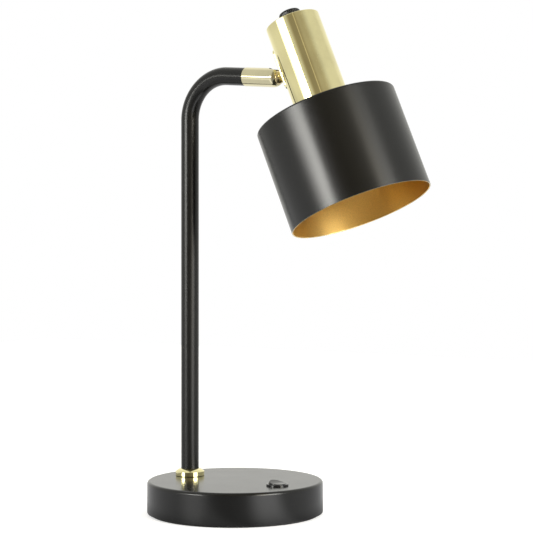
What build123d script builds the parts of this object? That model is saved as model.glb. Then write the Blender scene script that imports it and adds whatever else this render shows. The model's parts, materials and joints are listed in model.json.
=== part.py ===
"""Desk lamp: round weighted base, bent tube stem, slotted ball joint and a cylinder shade.

Frame: origin at the centre of the underside, +X from the stem towards the shade, +Z up.
The stem, the arm and the head all lie in the XZ plane. Sizes are in millimetres.
"""
import os
from math import cos, radians, sin, sqrt, tan

from build123d import *

# Base
base_diameter = 156.0
base_height = 28.0
base_wall = 1.5
base_edge_radius = 2.6
pad_thickness = 2.0
pad_inset = 3.0
pad_recess = 0.4
weight_thickness = 12.0
weight_clearance = 0.8
weight_boss_diameter = 12.0
weight_boss_edge_distance = 23.0
weight_boss_count = 4
weight_boss_gap = 0.1
groove_width = 12.0
groove_floor = 2.6
stem_pocket_diameter = 40.0
switch_pocket_diameter = 38.0

# Cord inlet in the back wall of the base
gland_height = 12.0
gland_neck_diameter = 9.0
gland_flange_diameter = 13.0
gland_flange_thickness = 1.8
gland_collar_length = 3.0
gland_bore_diameter = 6.2

# Stem and arm
stem_edge_distance = 28.3
tube_diameter = 16.0
tube_wall = 1.2
bend_radius = 38.0
bend_centre_height = 350.6
arm_droop = 4.4
arm_reach = 54.2
collar_diameter = 26.0
collar_band_height = 4.0
collar_cone_height = 3.3
collar_web = 2.0
collar_edge_radius = 0.5
slip_clearance = 0.1

# Clamp at the foot of the stem
nipple_diameter = 10.0
nipple_bore = 7.0
insert_length = 14.0
nipple_engagement = 11.0
foot_washer_diameter = 28.0
foot_washer_thickness = 1.6
foot_nut_across_flats = 17.0
foot_nut_thickness = 4.0
thread_runout = 2.0
thread_clearance = 0.05

# Lead inside the lamp
lead_diameter = 4.0
lead_bend_radius = 8.6
lead_gap = 0.3

# Rocker switch, on its own radius of the base
switch_edge_distance = 27.3
switch_angle = -9.0
switch_flange_diameter = 19.4
switch_flange_thickness = 1.6
switch_body_diameter = 17.6
switch_body_depth = 13.0
rocker_radius = 5.7
rocker_width = 10.4
rocker_gap = 0.3
rocker_pivot_depth = 0.6
rocker_rise = 1.9
rocker_valley = 8.0
rocker_throw = 20.0
rocker_pin_diameter = 1.6
rocker_pin_length = 0.9
terminal_width = 4.8
terminal_thickness = 0.8
terminal_length = 8.0
terminal_spacing = 8.0

# Swivel and ball joint on the end of the arm
barrel_diameter = 16.7
barrel_back = 33.6
barrel_front = 1.0
nose_length = 4.6
nose_mouth_diameter = 13.4
barrel_rim_radius = 0.6
ball_diameter = 12.0
ball_clearance = 0.05
seat_bore_clearance = 0.15
slot_width = 8.0
slot_back = 9.0
web_back = 24.0
web_thickness = 4.0
journal_diameter = 8.8
swivel_gap = 0.2
spigot_length = 14.0
swivel_washer_diameter = 11.4
swivel_washer_thickness = 0.6
swivel_nut_diameter = 11.2
swivel_nut_thickness = 3.0
spanner_slot = 1.6
lead_bore = 4.6
seat_screw_thickness = 3.0
seat_screw_back = 15.4
spring_thickness = 0.5
spring_dish = 0.35
spring_count = 3
spring_diameter = 11.4
seat_length = 6.0

# Bracket between the ball and the head
neck_diameter = 7.0
axis_offset = 32.8
plate_width = 12.0
plate_length = 38.5
plate_thickness = 2.0
plate_corner = 4.5
plate_rise = 4.2
plate_gap = 0.05
plate_edge_radius = 0.4
screw_spacing = 28.8
screw_diameter = 3.0
screw_head_diameter = 5.4
screw_head_height = 1.5
screw_slot_width = 0.8
screw_slot_depth = 0.7
saddle_thickness = 3.0
stud_nut_across_flats = 10.0
stud_nut_thickness = 3.0

# Head
head_tilt = 23.0
cylinder_diameter = 48.0
cylinder_wall = 0.8
cylinder_top = 38.2
cylinder_edge_radius = 0.7
finial_diameter = 19.2
finial_height = 9.6
finial_round = 2.4
finial_thread_depth = 6.0
rod_diameter = 10.0
rod_nut_across_flats = 17.0
rod_nut_thickness = 4.0
shade_diameter = 124.4
shade_height = 91.6
shade_wall = 1.0
shade_edge_radius = 1.6
roof_level = -48.2
shade_hole_diameter = 40.6

# Lampholder and bulb
holder_diameter = 39.6
holder_wall = 3.0
holder_flange_diameter = 44.0
holder_flange_thickness = 1.6
holder_drop = 13.0
holder_cap_height = 9.0
holder_cap_level = -17.5
holder_cap_wall = 2.4
shade_ring_diameter = 53.0
shade_ring_thickness = 5.0
shade_ring_ribs = 24
sleeve_diameter = 27.6
sleeve_wall = 0.5
sleeve_length = 17.0
contact_width = 6.0
contact_thickness = 0.6
bulb_cap_diameter = 26.0
bulb_cap_length = 23.0
bulb_cap_inset = 2.0
bulb_diameter = 45.0
bulb_length = 52.0
bulb_neck_diameter = 24.0
bulb_wall = 0.9

os.makedirs("parts", exist_ok=True)


def finish(piece, name):
    """Label a finished piece and write it as one STEP file."""
    piece.part.label = name
    export_step(piece.part, f"parts/{name}.step")


def ring_piece(plane, outer, inner, length):
    """Build a straight ring on a plane, grown along the plane's normal."""
    with BuildPart() as piece:
        with BuildSketch(plane):
            Circle(outer / 2)
            Circle(inner / 2, mode=Mode.SUBTRACT)
        extrude(amount=length)
    return piece


def hex_nut(plane, across_flats, bore, thickness):
    """Build a hexagon nut on a plane, with its corners chamfered by turning."""
    with BuildPart() as piece:
        with BuildSketch(plane):
            RegularPolygon(across_flats / 2, 6, major_radius=False)
            Circle(bore / 2, mode=Mode.SUBTRACT)
        extrude(amount=thickness)
        with BuildSketch(plane):
            Circle(across_flats / sqrt(3) - across_flats / 40)
        extrude(amount=thickness, mode=Mode.INTERSECT)
    return piece


# Places worked out from the sizes
base_radius = base_diameter / 2
shell_foot = pad_thickness - pad_recess
base_top = shell_foot + base_height
shell_inner_top = base_top - base_wall
shell_inner_radius = base_radius - base_wall
stem_x = stem_edge_distance - base_radius
droop = radians(arm_droop)
tilt = radians(head_tilt)
bend_end = (
    stem_x + bend_radius + bend_radius * sin(droop),
    bend_centre_height + bend_radius * cos(droop),
)
arm_direction = Vector(cos(droop), 0, -sin(droop))
ball_centre = Vector(bend_end[0], 0, bend_end[1]) + arm_direction * arm_reach
head_out = Vector(cos(tilt), 0, sin(tilt))
head_up = Vector(-sin(tilt), 0, cos(tilt))
head_centre = ball_centre + head_out * axis_offset
switch_radius = base_radius - switch_edge_distance
switch_centre = (
    switch_radius * cos(radians(switch_angle)),
    switch_radius * sin(radians(switch_angle)),
)

# Planes of the arm: a lengthways one for turned profiles, and one square to the arm
arm_profile = Plane(origin=ball_centre, x_dir=arm_direction, z_dir=(0, -1, 0))
arm_axis = Axis(ball_centre, arm_direction)
arm_section = Plane(origin=ball_centre, x_dir=(0, 1, 0), z_dir=arm_direction)

# Planes of the head: a profile plane, one square to the head's axis, one facing the arm
head_profile = Plane(origin=head_centre, x_dir=head_out, z_dir=(0, -1, 0))
head_axis = Axis(head_centre, head_up)
head_section = Plane(origin=head_centre, x_dir=head_out, z_dir=head_up)
stud_profile = Plane(origin=ball_centre, x_dir=head_out, z_dir=(0, -1, 0))
stud_axis = Axis(ball_centre, head_out)
stud_section = Plane(origin=ball_centre, x_dir=(0, -1, 0), z_dir=head_out)

# Base shell: a pressed steel cup, open below
with BuildPart() as base_shell:
    with BuildSketch(Plane.XY.offset(shell_foot)):
        Circle(base_radius)
    extrude(amount=base_height)
    fillet(base_shell.edges().group_by(Axis.Z)[-1], base_edge_radius)
    offset(amount=-base_wall, openings=base_shell.faces().sort_by(Axis.Z)[0])
    with Locations((stem_x, 0, base_top)):
        Hole(nipple_diameter / 2 + slip_clearance, depth=2 * base_wall)
    with Locations((*switch_centre, base_top)):
        Hole(switch_body_diameter / 2 + slip_clearance, depth=2 * base_wall)
    with BuildSketch(Plane.YZ.offset(-base_radius - base_wall)):
        with Locations((0, gland_height)):
            Circle(gland_neck_diameter / 2 + slip_clearance)
    extrude(amount=3 * base_wall, mode=Mode.SUBTRACT)
finish(base_shell, "base_shell")

# Base weight: cast iron disc with bosses up to the shell, and room for the wiring
weight_radius = shell_inner_radius - weight_clearance
weight_top = pad_thickness + weight_thickness
groove_level = pad_thickness + groove_floor
with BuildPart() as base_weight:
    with BuildSketch(Plane.XY.offset(pad_thickness)):
        Circle(weight_radius)
    extrude(amount=weight_thickness)
    chamfer(base_weight.edges().group_by(Axis.Z)[-1], weight_clearance)
    with BuildSketch(Plane.XY.offset(weight_top)):
        with PolarLocations(base_radius - weight_boss_edge_distance, weight_boss_count, start_angle=45):
            Circle(weight_boss_diameter / 2)
    extrude(amount=shell_inner_top - weight_top - weight_boss_gap)
    with BuildSketch(Plane.XY.offset(pad_thickness)):
        with Locations((stem_x, 0)):
            Circle(stem_pocket_diameter / 2)
        with Locations(switch_centre):
            Circle(switch_pocket_diameter / 2)
    extrude(amount=weight_thickness, mode=Mode.SUBTRACT)
    with BuildSketch(Plane.XY.offset(groove_level)):
        with Locations(((stem_x + switch_centre[0]) / 2, 0)):
            Rectangle(switch_centre[0] - stem_x, groove_width)
        with Locations(((stem_x - base_radius) / 2, 0)):
            Rectangle(base_radius + stem_x, groove_width)
    extrude(amount=weight_thickness, mode=Mode.SUBTRACT)
finish(base_weight, "base_weight")

# Foam pad under the base, set in from the edge
with BuildPart() as base_pad:
    with BuildSketch():
        Circle(base_radius - pad_inset)
    extrude(amount=pad_thickness)
finish(base_pad, "base_pad")

# Cord gland: a flanged bush snapped into the back wall
gland_outer = -base_radius - gland_flange_thickness
gland_profile = Plane(origin=(gland_outer, 0, gland_height), x_dir=(1, 0, 0), z_dir=(0, -1, 0))
gland_neck = base_wall + 2 * slip_clearance
with BuildPart() as cord_gland:
    with BuildSketch(gland_profile):
        with BuildLine():
            Polyline(
                (0, gland_bore_diameter / 2),
                (0, gland_flange_diameter / 2 - gland_flange_thickness / 2),
                (gland_flange_thickness / 2, gland_flange_diameter / 2),
                (gland_flange_thickness, gland_flange_diameter / 2),
                (gland_flange_thickness, gland_neck_diameter / 2),
                (gland_flange_thickness + gland_neck, gland_neck_diameter / 2),
                (gland_flange_thickness + gland_neck, gland_neck_diameter / 2 + base_wall / 2),
                (gland_flange_thickness + gland_neck + gland_collar_length, gland_neck_diameter / 2),
                (gland_flange_thickness + gland_neck + gland_collar_length, gland_bore_diameter / 2),
                close=True,
            )
        make_face()
    revolve(axis=Axis((gland_outer, 0, gland_height), (1, 0, 0)))
finish(cord_gland, "cord_gland")

# Switch housing: a round flange on the base and a round body below it
switch_plane = Plane(
    origin=(*switch_centre, base_top),
    x_dir=(cos(radians(switch_angle)), sin(radians(switch_angle)), 0),
    z_dir=(0, 0, 1),
)
pivot_level = switch_flange_thickness - rocker_pivot_depth
rocker_profile = Plane(
    origin=switch_plane.origin + Vector(0, 0, pivot_level),
    x_dir=switch_plane.x_dir,
    z_dir=-switch_plane.y_dir,
)
well_radius = rocker_radius + rocker_gap
with BuildPart() as switch_housing:
    with BuildSketch(switch_plane):
        Circle(switch_flange_diameter / 2)
    extrude(amount=switch_flange_thickness)
    chamfer(switch_housing.edges().group_by(Axis.Z)[-1], switch_flange_thickness / 3)
    with BuildSketch(switch_plane):
        Circle(switch_body_diameter / 2)
    extrude(amount=-switch_body_depth)
    with BuildSketch(rocker_profile):
        Circle(well_radius)
    extrude(amount=rocker_width / 2 + rocker_gap, both=True, mode=Mode.SUBTRACT)
    with BuildSketch(rocker_profile):
        Circle(rocker_pin_diameter / 2 + slip_clearance)
    extrude(amount=rocker_width / 2 + rocker_pin_length + rocker_gap, both=True, mode=Mode.SUBTRACT)
finish(switch_housing, "switch_housing")

# Rocker: a valley-topped key between two pins, drawn level and then set to its rest side
rest_angle = radians(rocker_throw / 2)
level_plane = Plane(
    origin=rocker_profile.origin,
    x_dir=rocker_profile.x_dir * cos(rest_angle) - rocker_profile.y_dir * sin(rest_angle),
    z_dir=rocker_profile.z_dir,
)
valley_reach = 2 * rocker_radius
valley_end = rocker_rise + valley_reach * tan(radians(rocker_valley))
with BuildPart() as switch_rocker:
    with BuildSketch(level_plane):
        Circle(rocker_radius)
        with BuildLine():
            Polyline(
                (-valley_reach, valley_end),
                (0, rocker_rise),
                (valley_reach, valley_end),
                (valley_reach, 2 * valley_reach),
                (-valley_reach, 2 * valley_reach),
                close=True,
            )
        make_face(mode=Mode.SUBTRACT)
    extrude(amount=rocker_width / 2, both=True)
    with BuildSketch(level_plane):
        Circle(rocker_pin_diameter / 2)
    extrude(amount=rocker_width / 2 + rocker_pin_length, both=True)
finish(switch_rocker, "switch_rocker")

# Two tab terminals under the switch
with BuildPart() as switch_terminals:
    with BuildSketch(switch_plane.offset(-switch_body_depth)):
        with GridLocations(terminal_spacing, 0, 2, 1):
            Rectangle(terminal_thickness, terminal_width)
    extrude(amount=-terminal_length)
finish(switch_terminals, "switch_terminals")

# Brass collar that centres the foot of the tube
collar_top = base_top + collar_band_height + collar_cone_height
socket_radius = tube_diameter / 2 + slip_clearance
with BuildPart() as stem_collar:
    with BuildSketch(Plane.XZ):
        with BuildLine():
            Polyline(
                (stem_x - nipple_diameter / 2 - slip_clearance, base_top),
                (stem_x - collar_diameter / 2, base_top),
                (stem_x - collar_diameter / 2, base_top + collar_band_height),
                (stem_x - socket_radius - collar_edge_radius, collar_top),
                (stem_x - socket_radius, collar_top),
                (stem_x - socket_radius, base_top + collar_web),
                (stem_x - nipple_diameter / 2 - slip_clearance, base_top + collar_web),
                close=True,
            )
        make_face()
        fillet(vertices().sort_by(Axis.X)[:2], collar_edge_radius)
    revolve(axis=Axis((stem_x, 0, 0), (0, 0, 1)))
finish(stem_collar, "stem_collar")

# Stem tube: straight up, round the bend and out along the drooping arm
tube_foot = base_top + collar_web
tube_end = barrel_back + lead_gap
arm_run = arm_reach - tube_end
tube_bore = tube_diameter - 2 * tube_wall
with BuildPart() as stem_tube:
    with BuildLine(Plane.XZ) as stem_path:
        Line((stem_x, tube_foot), (stem_x, bend_centre_height))
        CenterArc((stem_x + bend_radius, bend_centre_height), bend_radius, 180, -90 - arm_droop)
        Line(bend_end, (bend_end[0] + arm_run * cos(droop), bend_end[1] - arm_run * sin(droop)))
    with BuildSketch(Plane((stem_x, 0, tube_foot))):
        Circle(tube_diameter / 2)
        Circle(tube_bore / 2, mode=Mode.SUBTRACT)
    sweep(path=stem_path.wires()[0])
finish(stem_tube, "stem_tube")

# Clamp at the foot: insert in the tube, hollow nipple, washer and nut
foot_insert = ring_piece(
    Plane((stem_x, 0, tube_foot)),
    tube_bore - 2 * thread_clearance,
    nipple_diameter + 2 * thread_clearance,
    insert_length,
)
finish(foot_insert, "foot_insert")
washer_level = shell_inner_top - foot_washer_thickness
nut_level = washer_level - foot_nut_thickness
nipple_foot = nut_level - thread_runout
foot_nipple = ring_piece(
    Plane((stem_x, 0, nipple_foot)),
    nipple_diameter,
    nipple_bore,
    tube_foot + nipple_engagement - nipple_foot,
)
finish(foot_nipple, "foot_nipple")
foot_washer = ring_piece(
    Plane((stem_x, 0, washer_level)),
    foot_washer_diameter,
    nipple_diameter + 2 * slip_clearance,
    foot_washer_thickness,
)
finish(foot_washer, "foot_washer")
foot_nut = hex_nut(
    Plane((stem_x, 0, nut_level)),
    foot_nut_across_flats,
    nipple_diameter + 2 * thread_clearance,
    foot_nut_thickness,
)
finish(foot_nut, "foot_nut")

# Lead from the switch to the swivel, inside the base, the stem and the arm
lead_level = groove_level + lead_diameter / 2 + lead_gap
lead_start = switch_centre[0] - switch_pocket_diameter / 2 + lead_diameter
swivel_nut_front = web_back - web_thickness
plug_front = swivel_nut_front - swivel_washer_thickness - swivel_nut_thickness - swivel_gap
lead_run = arm_reach - plug_front
with BuildPart() as stem_lead:
    with BuildLine(Plane.XZ) as lead_path:
        Line((lead_start, lead_level), (stem_x + lead_bend_radius, lead_level))
        CenterArc(
            (stem_x + lead_bend_radius, lead_level + lead_bend_radius), lead_bend_radius, 270, -90
        )
        Line((stem_x, lead_level + lead_bend_radius), (stem_x, bend_centre_height))
        CenterArc((stem_x + bend_radius, bend_centre_height), bend_radius, 180, -90 - arm_droop)
        Line(bend_end, (bend_end[0] + lead_run * cos(droop), bend_end[1] - lead_run * sin(droop)))
    with BuildSketch(Plane((lead_start, 0, lead_level), x_dir=(0, 1, 0), z_dir=(-1, 0, 0))):
        Circle(lead_diameter / 2)
    sweep(path=lead_path.wires()[0])
finish(stem_lead, "stem_lead")

# Swivel plug: pressed in the tube, with a journal for the barrel and a bore for the lead
boss_radius = barrel_diameter / 2 - tube_wall
counterbore_radius = boss_radius + slip_clearance
plug_tail = tube_end + spigot_length
with BuildPart() as swivel_plug:
    with BuildSketch(arm_profile):
        with BuildLine():
            Polyline(
                (-plug_tail, lead_bore / 2),
                (-plug_tail, tube_bore / 2 - thread_clearance),
                (-tube_end, tube_bore / 2 - thread_clearance),
                (-tube_end, boss_radius),
                (-web_back - swivel_gap, boss_radius),
                (-web_back - swivel_gap, journal_diameter / 2),
                (-plug_front, journal_diameter / 2),
                (-plug_front, lead_bore / 2),
                close=True,
            )
        make_face()
    revolve(axis=arm_axis)
finish(swivel_plug, "swivel_plug")

# Friction washer and ring nut that hold the barrel on the journal
swivel_washer = ring_piece(
    arm_section.offset(-swivel_nut_front + slip_clearance),
    swivel_washer_diameter,
    journal_diameter + 2 * slip_clearance,
    swivel_washer_thickness,
)
finish(swivel_washer, "swivel_washer")
nut_start = -swivel_nut_front + swivel_washer_thickness + swivel_gap
with BuildPart() as swivel_nut:
    with BuildSketch(arm_section.offset(nut_start)):
        Circle(swivel_nut_diameter / 2)
        Circle(journal_diameter / 2 + thread_clearance, mode=Mode.SUBTRACT)
    extrude(amount=swivel_nut_thickness)
    with BuildSketch(arm_section.offset(nut_start + swivel_nut_thickness / 2)):
        Rectangle(2 * swivel_nut_diameter, spanner_slot)
    extrude(amount=swivel_nut_thickness, mode=Mode.SUBTRACT)
finish(swivel_nut, "swivel_nut")

# Socket barrel: turned brass sleeve with a web at the back and a rounded mouth for the ball
ball_radius = ball_diameter / 2
seat_radius = ball_radius + ball_clearance
chamber_radius = ball_radius + seat_bore_clearance
mouth_radius = sqrt(seat_radius**2 - barrel_front**2)
nose_start = barrel_front - nose_length
with BuildPart() as socket_barrel:
    with BuildSketch(arm_profile):
        with BuildLine():
            Polyline(
                (-barrel_back, counterbore_radius),
                (-barrel_back, barrel_diameter / 2),
                (nose_start, barrel_diameter / 2),
            )
            TangentArc(
                (nose_start, barrel_diameter / 2),
                (barrel_front, nose_mouth_diameter / 2),
                tangent=(1, 0),
            )
            Line((barrel_front, nose_mouth_diameter / 2), (barrel_front, mouth_radius))
            ThreePointArc(
                (barrel_front, mouth_radius),
                (barrel_front / 2, sqrt(seat_radius**2 - barrel_front**2 / 4)),
                (0, seat_radius),
            )
            Polyline(
                (0, seat_radius),
                (0, chamber_radius),
                (-swivel_nut_front, chamber_radius),
                (-swivel_nut_front, journal_diameter / 2 + slip_clearance),
                (-web_back, journal_diameter / 2 + slip_clearance),
                (-web_back, counterbore_radius),
                (-barrel_back, counterbore_radius),
            )
        make_face()
    revolve(axis=arm_axis)
    fillet(
        socket_barrel.edges().filter_by(GeomType.CIRCLE).group_by(Axis(ball_centre, arm_direction))[0]
        .sort_by(SortBy.RADIUS)[-1:],
        barrel_rim_radius,
    )
    slot_plane = Plane(origin=ball_centre, x_dir=arm_direction, z_dir=arm_profile.y_dir)
    with BuildSketch(slot_plane):
        with Locations((-slot_back + slot_width / 2, 0)):
            Circle(slot_width / 2)
        with Locations((barrel_front, 0)):
            Rectangle(2 * (barrel_front + slot_back - slot_width / 2), slot_width)
    extrude(amount=barrel_diameter, mode=Mode.SUBTRACT)
finish(socket_barrel, "socket_barrel")

# Ring screw that closes the ball chamber and loads its springs
seat_screw = ring_piece(
    arm_section.offset(-seat_screw_back),
    2 * (chamber_radius - slip_clearance),
    lead_bore,
    seat_screw_thickness,
)
finish(seat_screw, "seat_screw")

# Dished spring washers, stacked the same way
spring_start = seat_screw_back - seat_screw_thickness - slip_clearance
spring_pitch = spring_thickness + spring_dish
with BuildPart() as disc_springs:
    for turn in range(spring_count):
        spring_at = -spring_start + turn * spring_pitch
        with BuildSketch(arm_profile):
            with BuildLine():
                Polyline(
                    (spring_at, spring_diameter / 2),
                    (spring_at + spring_dish, lead_bore / 2 + slip_clearance),
                    (spring_at + spring_dish + spring_thickness, lead_bore / 2 + slip_clearance),
                    (spring_at + spring_thickness, spring_diameter / 2),
                    close=True,
                )
            make_face()
        revolve(axis=arm_axis)
finish(disc_springs, "disc_springs")

# Friction seat: a nylon cup behind the ball
seat_back = spring_start - spring_count * spring_pitch - slip_clearance
seat_front = max(seat_back - seat_length, ball_radius / 2)
with BuildPart() as friction_seat:
    with BuildSketch(arm_profile):
        with BuildLine():
            Polyline(
                (-seat_back, 0),
                (-seat_back, chamber_radius - slip_clearance),
                (-seat_front, chamber_radius - slip_clearance),
                (-seat_front, 0),
                close=True,
            )
        make_face()
    revolve(axis=arm_axis)
    with BuildSketch(arm_profile):
        with BuildLine():
            CenterArc((0, 0), seat_radius, 0, 180)
            Line((-seat_radius, 0), (seat_radius, 0))
        make_face()
    revolve(axis=arm_axis, mode=Mode.SUBTRACT)
    with BuildSketch(arm_section.offset(-seat_back)):
        Circle(lead_bore / 2)
    extrude(amount=seat_back, mode=Mode.SUBTRACT)
finish(friction_seat, "friction_seat")

# Short run of the lead inside the barrel, on the swivel axis
with BuildPart() as joint_lead:
    with BuildSketch(arm_section.offset(-plug_front + lead_gap)):
        Circle(lead_diameter / 2)
    extrude(amount=plug_front - lead_gap - seat_radius - lead_gap)
finish(joint_lead, "joint_lead")

# Stack between the ball and the inside of the head, measured from the ball's centre
surface_at = axis_offset - cylinder_diameter / 2
plate_front = surface_at - plate_gap
plate_back = plate_front - plate_thickness
wall_inside = surface_at + cylinder_wall
saddle_front = wall_inside + saddle_thickness
stud_end = saddle_front + stud_nut_thickness + thread_runout / 2
head_lead_x = stud_end + lead_bend_radius

# Ball stud: ball, neck and threaded stud in one turned piece, bored for the lead
with BuildPart() as ball_stud:
    with BuildSketch(stud_profile):
        with BuildLine():
            CenterArc((0, 0), ball_radius, 0, 180)
            Line((-ball_radius, 0), (ball_radius, 0))
        make_face()
    revolve(axis=stud_axis)
    with BuildSketch(stud_section):
        Circle(neck_diameter / 2)
    extrude(amount=stud_end)
    with BuildSketch(stud_section.offset(-ball_radius)):
        Circle(lead_bore / 2)
    extrude(amount=ball_radius + stud_end, mode=Mode.SUBTRACT)
finish(ball_stud, "ball_stud")

# Face plate on the side of the head
screw_places = [(0, plate_rise + side * screw_spacing / 2) for side in (-1, 1)]
with BuildPart() as head_plate:
    with BuildSketch(stud_section.offset(plate_back)):
        with Locations((0, plate_rise)):
            RectangleRounded(plate_width, plate_length, plate_corner)
        Circle(neck_diameter / 2 + slip_clearance, mode=Mode.SUBTRACT)
        with Locations(*screw_places):
            Circle(screw_diameter / 2 + slip_clearance, mode=Mode.SUBTRACT)
    extrude(amount=plate_thickness)
    back_face = head_plate.faces().sort_by(Axis(ball_centre, head_out))[0]
    fillet(back_face.outer_wire().edges(), plate_edge_radius)
finish(head_plate, "head_plate")

# Two slotted screws that hold the plate
screw_length = plate_thickness + plate_gap + cylinder_wall + saddle_thickness
with BuildPart() as plate_screws:
    with BuildSketch(stud_section.offset(plate_back)):
        with Locations(*screw_places):
            Circle(screw_diameter / 2)
    extrude(amount=screw_length)
    with BuildSketch(stud_section.offset(plate_back)):
        with Locations(*screw_places):
            Circle(screw_head_diameter / 2)
    extrude(amount=-screw_head_height)
    fillet(plate_screws.edges().group_by(Axis(ball_centre, head_out))[0], screw_head_height / 3)
    with BuildSketch(stud_section.offset(plate_back - screw_head_height)):
        with Locations(*screw_places):
            Rectangle(2 * screw_head_diameter, screw_slot_width)
    extrude(amount=screw_slot_depth, mode=Mode.SUBTRACT)
finish(plate_screws, "plate_screws")

# Saddle inside the head: curved against the wall, flat towards its nut
inner_radius = cylinder_diameter / 2 - cylinder_wall
with BuildPart() as saddle_block:
    with BuildSketch(stud_section.offset(surface_at)):
        with Locations((0, plate_rise)):
            RectangleRounded(plate_width, plate_length, plate_corner)
        Circle(neck_diameter / 2 + slip_clearance, mode=Mode.SUBTRACT)
        with Locations(*screw_places):
            Circle(screw_diameter / 2 + thread_clearance, mode=Mode.SUBTRACT)
    extrude(amount=saddle_front - surface_at)
    with BuildSketch(head_section.offset(-plate_length)):
        Circle(inner_radius - slip_clearance / 2)
    extrude(amount=2 * plate_length, mode=Mode.INTERSECT)
finish(saddle_block, "saddle_block")

stud_nut = hex_nut(
    stud_section.offset(saddle_front),
    stud_nut_across_flats,
    neck_diameter + 2 * thread_clearance,
    stud_nut_thickness,
)
finish(stud_nut, "stud_nut")

# Head cylinder: a deep brass cup, closed at the top, standing on the shade
cylinder_inner_top = cylinder_top - cylinder_wall
with BuildPart() as head_cylinder:
    with BuildSketch(head_section.offset(roof_level)):
        Circle(cylinder_diameter / 2)
    extrude(amount=cylinder_top - roof_level)
    top_edge = head_cylinder.edges().group_by(head_axis)[-1]
    fillet(top_edge, cylinder_edge_radius)
    open_face = head_cylinder.faces().sort_by(head_axis)[0]
    offset(amount=-cylinder_wall, openings=open_face, kind=Kind.INTERSECTION)
    with BuildSketch(head_section.offset(cylinder_inner_top - cylinder_wall)):
        Circle(rod_diameter / 2 + slip_clearance)
    extrude(amount=3 * cylinder_wall, mode=Mode.SUBTRACT)
    with BuildSketch(stud_section.offset(surface_at - cylinder_wall)):
        Circle(neck_diameter / 2 + slip_clearance)
        with Locations(*screw_places):
            Circle(screw_diameter / 2 + slip_clearance)
    extrude(amount=3 * cylinder_wall, mode=Mode.SUBTRACT)
finish(head_cylinder, "head_cylinder")

# Threaded rod from the lampholder to the finial, with its lock nut under the top
rod_top = cylinder_top + finial_thread_depth - slip_clearance
cap_top = holder_cap_level
cap_foot = cap_top - holder_cap_height
rod_foot = cap_top - holder_cap_wall - thread_runout
with BuildPart() as head_rod:
    with BuildSketch(head_section.offset(rod_foot)):
        Circle(rod_diameter / 2)
    extrude(amount=rod_top - rod_foot)
finish(head_rod, "head_rod")
rod_nut = hex_nut(
    head_section.offset(cylinder_inner_top - rod_nut_thickness),
    rod_nut_across_flats,
    rod_diameter + 2 * thread_clearance,
    rod_nut_thickness,
)
finish(rod_nut, "rod_nut")

# Black finial: round cap nut on top of the head
with BuildPart() as top_finial:
    with BuildSketch(head_section.offset(cylinder_top)):
        Circle(finial_diameter / 2)
    extrude(amount=finial_height)
    fillet(top_finial.edges().group_by(head_axis)[-1], finial_round)
    with BuildSketch(head_section.offset(cylinder_top)):
        Circle(rod_diameter / 2 + thread_clearance)
    extrude(amount=finial_thread_depth, mode=Mode.SUBTRACT)
finish(top_finial, "top_finial")

# Shade: a spun steel cup, open below, with a hole in its roof for the lampholder
with BuildPart() as shade:
    with BuildSketch(head_section.offset(roof_level)):
        Circle(shade_diameter / 2)
    extrude(amount=-shade_height)
    fillet(shade.edges().group_by(head_axis)[-1], shade_edge_radius)
    mouth = shade.faces().sort_by(head_axis)[0]
    offset(amount=-shade_wall, openings=mouth)
    with BuildSketch(head_section.offset(roof_level)):
        Circle(shade_hole_diameter / 2)
    extrude(amount=-2 * shade_wall, mode=Mode.SUBTRACT)
finish(shade, "shade")

# Lampholder: cap with the rod's thread, and a body whose flange stands on the roof
holder_foot = roof_level - holder_drop
with BuildPart() as lampholder_cap:
    with BuildSketch(head_profile):
        with BuildLine():
            Polyline(
                (rod_diameter / 2 + thread_clearance, cap_top),
                (holder_diameter / 2 - holder_cap_wall, cap_top),
                (holder_diameter / 2, cap_top - holder_cap_wall),
                (holder_diameter / 2, cap_foot),
                (holder_diameter / 2 - holder_cap_wall, cap_foot),
                (holder_diameter / 2 - holder_cap_wall, cap_top - holder_cap_wall),
                (rod_diameter / 2 + thread_clearance, cap_top - holder_cap_wall),
                close=True,
            )
        make_face()
    revolve(axis=head_axis)
    with BuildSketch(head_section.offset(cap_top - 2 * holder_cap_wall)):
        with Locations((head_lead_x - axis_offset, 0)):
            Circle(lead_bore / 2)
    extrude(amount=3 * holder_cap_wall, mode=Mode.SUBTRACT)
finish(lampholder_cap, "lampholder_cap")

body_inner = holder_diameter / 2 - holder_wall
bulb_cap_top = holder_foot + bulb_cap_length - bulb_cap_inset
floor_level = bulb_cap_top + 2 * contact_thickness + slip_clearance
with BuildPart() as lampholder_body:
    with BuildSketch(head_profile):
        with BuildLine():
            Polyline(
                (0, floor_level),
                (0, floor_level + holder_wall),
                (body_inner, floor_level + holder_wall),
                (body_inner, cap_foot),
                (holder_diameter / 2, cap_foot),
                (holder_diameter / 2, roof_level + holder_flange_thickness),
                (holder_flange_diameter / 2, roof_level + holder_flange_thickness),
                (holder_flange_diameter / 2, roof_level),
                (holder_diameter / 2, roof_level),
                (holder_diameter / 2, holder_foot),
                (body_inner, holder_foot),
                (body_inner, floor_level),
                close=True,
            )
        make_face()
    revolve(axis=head_axis)
finish(lampholder_body, "lampholder_body")

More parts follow.
